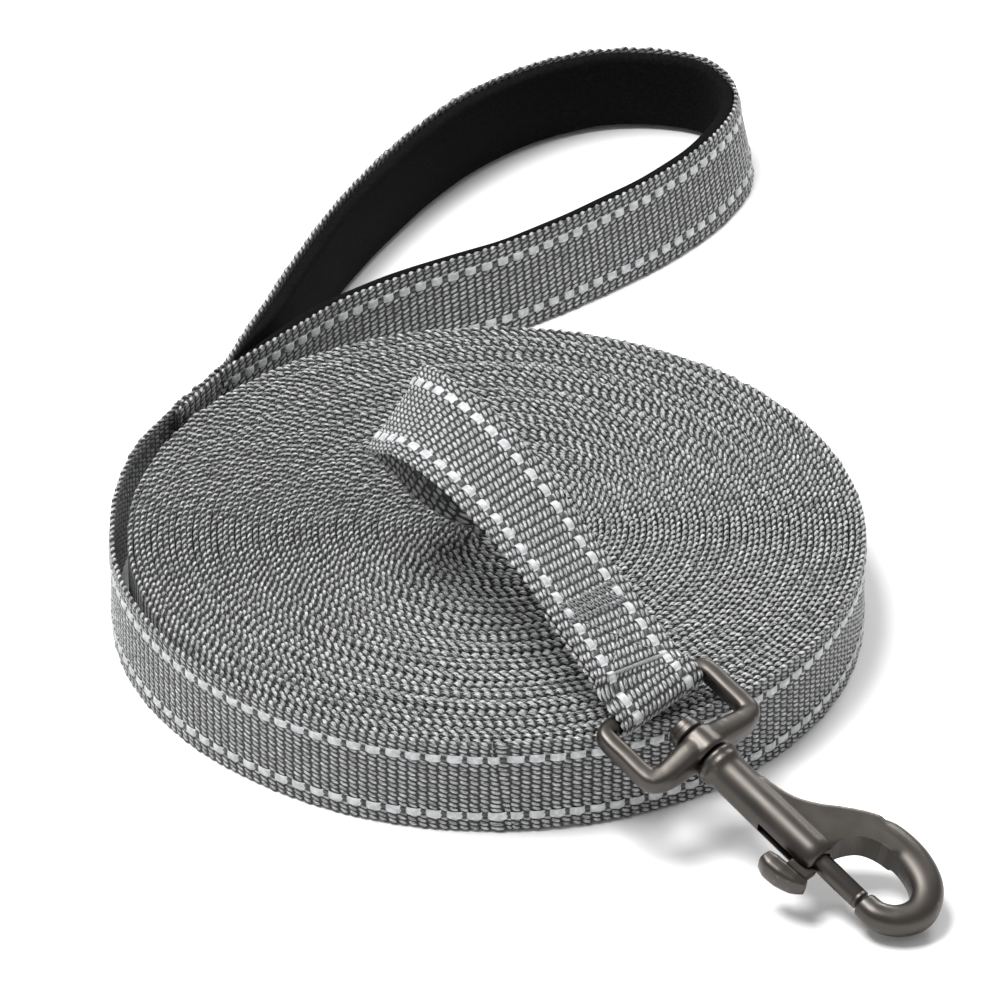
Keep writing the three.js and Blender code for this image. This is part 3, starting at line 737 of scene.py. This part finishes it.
def make_lead():
    radius = BAR + 0.2 + THICK / 2
    turn = np.radians(np.linspace(86, -95, 9))
    wrap = snap_to_row(np.stack([radius * np.cos(turn), 0 * turn + 0.6, radius * np.sin(turn)], 1))
    crossbar = SNAP_AXES[:, 1]
    points = np.vstack([RISER_POINTS, LEAD_POINTS, snap_to_row([WRAP_LEAD_IN]), wrap, snap_to_row([WRAP_TAIL])])
    across = np.vstack([RISER_ACROSS, LEAD_ACROSS, np.tile(crossbar, (len(wrap) + 2, 1))])
    line = line_through(points, across)
    spot = int(len(line.u) * 0.6)
    if line.normal[spot][2] < 0:
        line.normal = -line.normal
    strap = ribbon("lead_strap", line, front=True, back=True, edge=(60, 20, -20, -60), low_edge=(60, 20, -20, -60))
    bend = line.u[int(np.argmin(np.linalg.norm(line.centre - np.array(LEAD_POINTS[0]), axis=1)))]
    first = FLOAT_START + FLOAT_PITCH * math.ceil((bend - BEND_YARNS) / FLOAT_PITCH)
    yarns = floats("lead_reflective", line, faces=(1, -1), start=first, end=line.length - 2)
    tab, tab_yarns, tab_length = make_lead_tab(line)
    stitches = make_lead_sewing(line)
    for piece in (strap, yarns, tab, tab_yarns):
        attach(piece, "leash")
    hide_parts("lead_webbing", "lead_riser")
    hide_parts("lead_end_tab")


def lead_spots(line):
    """Distances along the lead of the points that the sewing hangs on."""
    spots = {}
    for at in (BOX_STITCH_AT, LEAD_TACK_AT):
        gap = np.linalg.norm(line.centre - np.array(LEAD_POINTS[at]), axis=1)
        spots[at] = line.u[int(np.argmin(gap))]
    return spots


def make_lead_tab(line):
    spots = lead_spots(line)
    u = np.linspace(spots[LEAD_TACK_AT] + 0.4, spots[BOX_STITCH_AT] - 3.0, 8)
    centre, tangent, side, normal = line.at(u)
    tab_line = line_through(centre - normal * (THICK + 0.15), side)
    if np.dot(tab_line.normal[5], normal[0]) < 0:
        tab_line.normal = -tab_line.normal
    tab = ribbon("lead_tab", tab_line, front=False, back=True)
    yarns = floats("lead_tab_reflective", tab_line, faces=(-1,), end=tab_line.length - 1)
    return tab, yarns, tab_line.length


def on_face(line, u, v, lift):
    """Points on the lead's upper face at distances u and places v across."""
    centre, _, side, normal = line.at(np.array(u, float))
    return centre + side * (np.array(v, float) - WIDTH / 2)[:, None] + normal * (THICK / 2 + lift)


def short_stitches(line, spots, length, turn, lift=0.05, arch=0.16):
    """Short threads on the lead's upper face, each centred on a (u, v) spot and turned from its length."""
    share = np.linspace(-0.5, 0.5, 5) * length
    paths = []
    for u, v in spots:
        away = rng.uniform(-0.2, 0.2)
        along = u + share * math.cos(turn + away)
        path = on_face(line, along, v + share * math.sin(turn + away), lift - arch)
        paths.append(path + line.at(along)[3] * (arch * np.cos(np.linspace(-1.4, 1.4, 5)))[:, None])
    return paths


def make_lead_sewing(line):
    """A dense band across both layers, two crossing rows, and a raised bar beside the crossbar."""
    spots = lead_spots(line)
    start, end = spots[BOX_STITCH_AT], spots[LEAD_TACK_AT]
    cells = []
    for row in range(BAND_ROWS):
        for k in range(BAND_COUNT):
            u = start + (row - (BAND_ROWS - 1) / 2) * BAND_PITCH + rng.uniform(-0.15, 0.15)
            v = 2.4 + (k + 0.5 * (row % 2) + rng.uniform(-0.2, 0.2)) * (WIDTH - 4.8) / BAND_COUNT
            cells.append((u, v))
    band = sewing("lead_stitch_band", short_stitches(line, cells, 0.85, 0.5), 0.15, GREY_THREAD)
    crossing = []
    for low, high in ((5.2, 14.8), (14.8, 5.2)):
        slope = math.atan2(high - low, end - start - 5)
        middles = (np.arange(CROSS_STITCHES) + 0.5) / CROSS_STITCHES
        places = [(start + 3 + (end - start - 5) * m, low + (high - low) * m) for m in middles]
        crossing += short_stitches(line, places, 1.2, slope)
    cross = sewing("lead_stitch_cross", crossing, 0.15, GREY_THREAD)
    cells = [(end, 2.8 + k * (WIDTH - 5.6) / 39) for k in range(40)]
    tack = sewing("lead_bar_tack_thread", short_stitches(line, cells, 0.8, 0.35, 0.14, 0.2), 0.17, GREY_THREAD)
    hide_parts("lead_box_stitch")
    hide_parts("lead_bar_tack")
    for piece in (band, cross, tack):
        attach(piece, "leash")
    return [band, cross, tack]


# ---------------------------------------------------------------- snap
def lathe(name, profile, material, segments=48):
    """A body of revolution about the snap's axis from (place, radius) pairs, in the snap's frame."""
    turn = np.linspace(0, 2 * np.pi, segments, endpoint=False)
    rings = [np.stack([np.full(segments, x), r * np.cos(turn), r * np.sin(turn)], 1) for x, r in profile]
    return loft(name, np.array(rings), None, material)


def sweep(name, points, widths, depths, material, closed=False, square=2.3, sides=20, per=6):
    """A bar along points in the snap's XY plane. widths and depths are half sizes in and across the plane."""
    p = [tuple(q) if len(q) == 3 else (q[0], q[1], 0.0) for q in points]
    if closed:
        p = p[-2:] + p + p[:3]
        widths = list(widths[-2:]) + list(widths) + list(widths[:3])
        depths = list(depths[-2:]) + list(depths) + list(depths[:3])
    line, place = catmull(p, per)
    if closed:
        keep = (place >= 2) & (place < len(p) - 3)
        line, place = line[keep], place[keep]
        tangent = unit(np.roll(line, -1, 0) - np.roll(line, 1, 0))
    else:
        tangent = unit(np.gradient(line, axis=0))
    a = np.cross(tangent, [0, 0, 1.0])
    half_w = np.interp(place, np.arange(len(widths)), widths)
    half_d = np.interp(place, np.arange(len(depths)), depths)
    turn = np.linspace(0, 2 * np.pi, sides, endpoint=False)
    c = np.sign(np.cos(turn)) * np.abs(np.cos(turn)) ** (2 / square)
    s = np.sign(np.sin(turn)) * np.abs(np.sin(turn)) ** (2 / square)
    ring = a[:, None] * (half_w[:, None] * c[None])[..., None] + np.array([0, 0, 1.0]) * (half_d[:, None] * s[None])[..., None]
    return loft(name, line[:, None] + ring, None, material, closed=closed)


def plate(name, outline, depth, material):
    """A flat plate in the snap's XY plane, depth thick."""
    outline = np.array(outline, float)
    rings = np.stack([np.column_stack([outline, np.full(len(outline), z)]) for z in (-depth / 2, depth / 2)])
    return loft(name, rings, None, material)


def cast(name, parts, cutters, voxel=0.3, smooth=9, material=GUNMETAL):
    """Parts fused as one casting with soft corners, then machined with the cutters."""
    body = join(name, parts)
    remesh = body.modifiers.new("fuse", "REMESH")
    remesh.mode = "VOXEL"
    remesh.voxel_size = voxel * MM
    soften = body.modifiers.new("soften", "SMOOTH")
    soften.factor = 0.5
    soften.iterations = smooth
    apply_modifiers(body)
    for cutter in cutters:
        cut = body.modifiers.new("cut", "BOOLEAN")
        cut.operation = "DIFFERENCE"
        cut.solver = "EXACT"
        cut.object = cutter
        apply_modifiers(body)
        bpy.data.objects.remove(cutter)
    return finish_metal(body, material)


def finish_metal(body, material=GUNMETAL):
    """Places a snap piece in the row frame, with smooth shading broken only at sharp corners."""
    mesh = body.data
    mesh.transform(Matrix.Scale(1000, 4))
    turn = SNAP_TURN.to_4x4()
    mesh.transform(Matrix.Translation(Vector(SNAP_ORIGIN)) @ turn)
    mesh.transform(Matrix.Scale(MM, 4))
    mesh.materials.clear()
    mesh.materials.append(material)
    mesh.polygons.foreach_set("use_smooth", np.ones(len(mesh.polygons), bool))
    mesh.set_sharp_from_angle(angle=math.radians(38))
    mesh.update()
    return body


def make_snap():
    barrel = lathe("barrel", [(17.2, 3.8), (17.5, 4.4), (18.1, 4.62), (18.7, 4.4), (18.95, 4.1), (19.2, 4.35),
                              (19.8, 4.5), (20.3, 4.3), (20.7, 3.95), (22, 3.9), (34, 4.0), (44.8, 4.05),
                              (46.2, 3.8), (46.8, 3.2)], GUNMETAL)
    hook = sweep("hook", [(41, 7.4), (44, 9.2), (47, 10.9), (51, 12.9), (58, 13.3), (63.8, 11), (66.4, 6.6),
                          (65.1, 2.3), (61.8, 0), (60, -0.1), (58.2, -0.1)],
                 [1.8, 2.6, 3.4, 4.0, 3.7, 3.4, 3.2, 2.9, 2.7, 2.6, 2.5],
                 [2.8, 3.1, 3.25, 3.35, 3.35, 3.35, 3.25, 3.05, 2.8, 2.65, 2.5], GUNMETAL)
    flare = catmull([(27, 3.3, 0), (31, 3.9, 0), (34.6, 5.1, 0), (38, 7.4, 0), (41.5, 10.6, 0), (45.2, 13.5, 0),
                     (47.5, 14.8, 0)], 6)[0][:, :2]
    inside = [(52, 13.2), (56, 12.9), (54.5, 9.6), (50, 7.5), (47.5, 5), (46.4, 2), (46.4, 0), (27, 0)]
    web = plate("web", np.vstack([flare, inside]), 6.5, GUNMETAL)
    rim = [(46.6, 2.6), (46.7, 4.6), (48.7, 8.4), (53, 10.3), (58.6, 10), (62.6, 8.2), (63.8, 5.8), (62.8, 3.6),
           (60.8, 2.4), (58.3, 2.35)]
    opening = plate("opening", catmull([(x, y, 0.0) for x, y in rim], 8)[0][:, :2], 9, GUNMETAL)
    bore = lathe("bore", [(15, 2.3), (47.5, 2.3)], GUNMETAL, 40)
    slot = plate("slot", [(33.5, 0), (48.5, 0), (48.5, -6), (33.5, -6)], 2.0, GUNMETAL)
    body = cast("snap_casting", [barrel, hook, web], [opening, bore, slot], smooth=20)
    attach(body, "hook")
    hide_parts("snap_body")
    make_eye()
    make_stud()
    make_bolt_and_lever()


def make_eye():
    points = [(0, -8), (0, 0), (0, 8), (0.1, 11.4), (0.8, 12.6), (2.4, 13), (7, 13), (11.4, 13), (13.6, 12.6),
              (14.4, 10.8), (14.4, 7.4), (14.1, 4), (14, 0), (14.1, -4), (14.4, -7.4), (14.4, -10.8),
              (13.6, -12.6), (11.4, -13), (7, -13), (2.4, -13), (0.8, -12.6), (0.1, -11.4)]
    widths = [1.65, 1.65, 1.65, 1.75, 1.85, 1.9, 1.9, 1.95, 2.1, 2.3, 2.6, 2.8, 2.9]
    depths = [1.65, 1.65, 1.65, 1.85, 2.0, 2.1, 2.1, 2.1, 2.2, 2.5, 3.1, 3.7, 4.0]
    widths += widths[11:2:-1]
    depths += depths[11:2:-1]
    loop = sweep("loop", points, widths, depths, GUNMETAL, closed=True, square=3)
    boss = lathe("boss", [(11.2, 3.6), (11.6, 4.2), (16.3, 4.5), (16.9, 4.1)], GUNMETAL)
    bore = lathe("bore", [(5, 2.2), (20, 2.2)], GUNMETAL, 32)
    eye = cast("eye_casting", [loop, boss], [bore], smooth=7)
    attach(eye, "eye")
    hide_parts("swivel_eye")


def make_stud():
    stud = lathe("swivel_stud_turned", [(8.0, 0.5), (8.0, 2.9), (8.25, 3.15), (9.3, 3.2), (9.5, 3.45), (10.5, 3.45),
                                        (10.8, 3.2), (10.8, 1.9), (17.1, 1.9), (19.8, 1.9)], GUNMETAL)
    finish_metal(stud)
    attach(stud, "hook")
    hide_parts("swivel_stud")


def make_bolt_and_lever():
    bolt = lathe("gate_bolt", [(37, 1.7), (37.3, 2.0), (56.5, 2.0), (56.7, 1.85), (56.9, 2.0), (57.4, 2.0), (57.8, 1.6)], GUNMETAL)
    finish_metal(bolt)
    thumb = sweep("thumb", [(39.5, -7.8), (41.4, -8), (44, -7.8), (46.8, -7.2), (49, -6.2)],
                  [1.5, 2.1, 2.1, 1.7, 0.9], [2.4, 2.7, 2.7, 2.4, 1.8], GUNMETAL, square=3)
    neck = plate("neck", [(42.9, -2.3), (47.9, -2.3), (47.9, -6.4), (42.9, -6.4)], 1.4, GUNMETAL)
    lever = cast("thumb_lever_cast", [thumb, neck], [], voxel=0.22, smooth=5)
    for piece, node in ((bolt, "snap_bolt"), (lever, "thumb_lever")):
        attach(piece, "bolt")
        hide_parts(node)


def finish_carried_nodes():
    """The spring and its washer keep their CAD shape."""
    for node in ("bolt_spring", "spring_seat"):
        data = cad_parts[node].data
        data.materials.clear()
        data.materials.append(STEEL)


# ---------------------------------------------------------------- studio
def make_studio():
    bpy.ops.mesh.primitive_plane_add(size=6, location=(0, 0.5, 0))
    floor = bpy.context.object
    floor.name = "floor"
    n = Nodes("pale_floor")
    n.set(Base_Color=(0.93, 0.93, 0.93, 1), Roughness=0.75)
    floor.data.materials.append(n.material)
    world = bpy.data.worlds.new("studio")
    bpy.context.scene.world = world
    world.use_nodes = True
    world.node_tree.nodes["Background"].inputs[0].default_value = (1, 1, 1, 1)
    world.node_tree.nodes["Background"].inputs[1].default_value = 0.5
    for name, place, size, power in (("key", (-0.35, -0.05, 1.15), 0.5, 17), ("rim", (0.45, 0.9, 0.75), 0.4, 6)):
        light = bpy.data.lights.new(name, "AREA")
        light.energy = power
        light.size = size
        lamp = bpy.data.objects.new(name, light)
        lamp.location = place
        lamp.rotation_euler = (Vector((0, 0, 0)) - Vector(place)).to_track_quat("-Z", "Y").to_euler()
        bpy.context.collection.objects.link(lamp)
    bpy.context.scene.view_settings.view_transform = "Standard"


make_roll()
make_handle()
make_handle_tacks()
make_lead()
make_snap()
finish_carried_nodes()
make_studio()
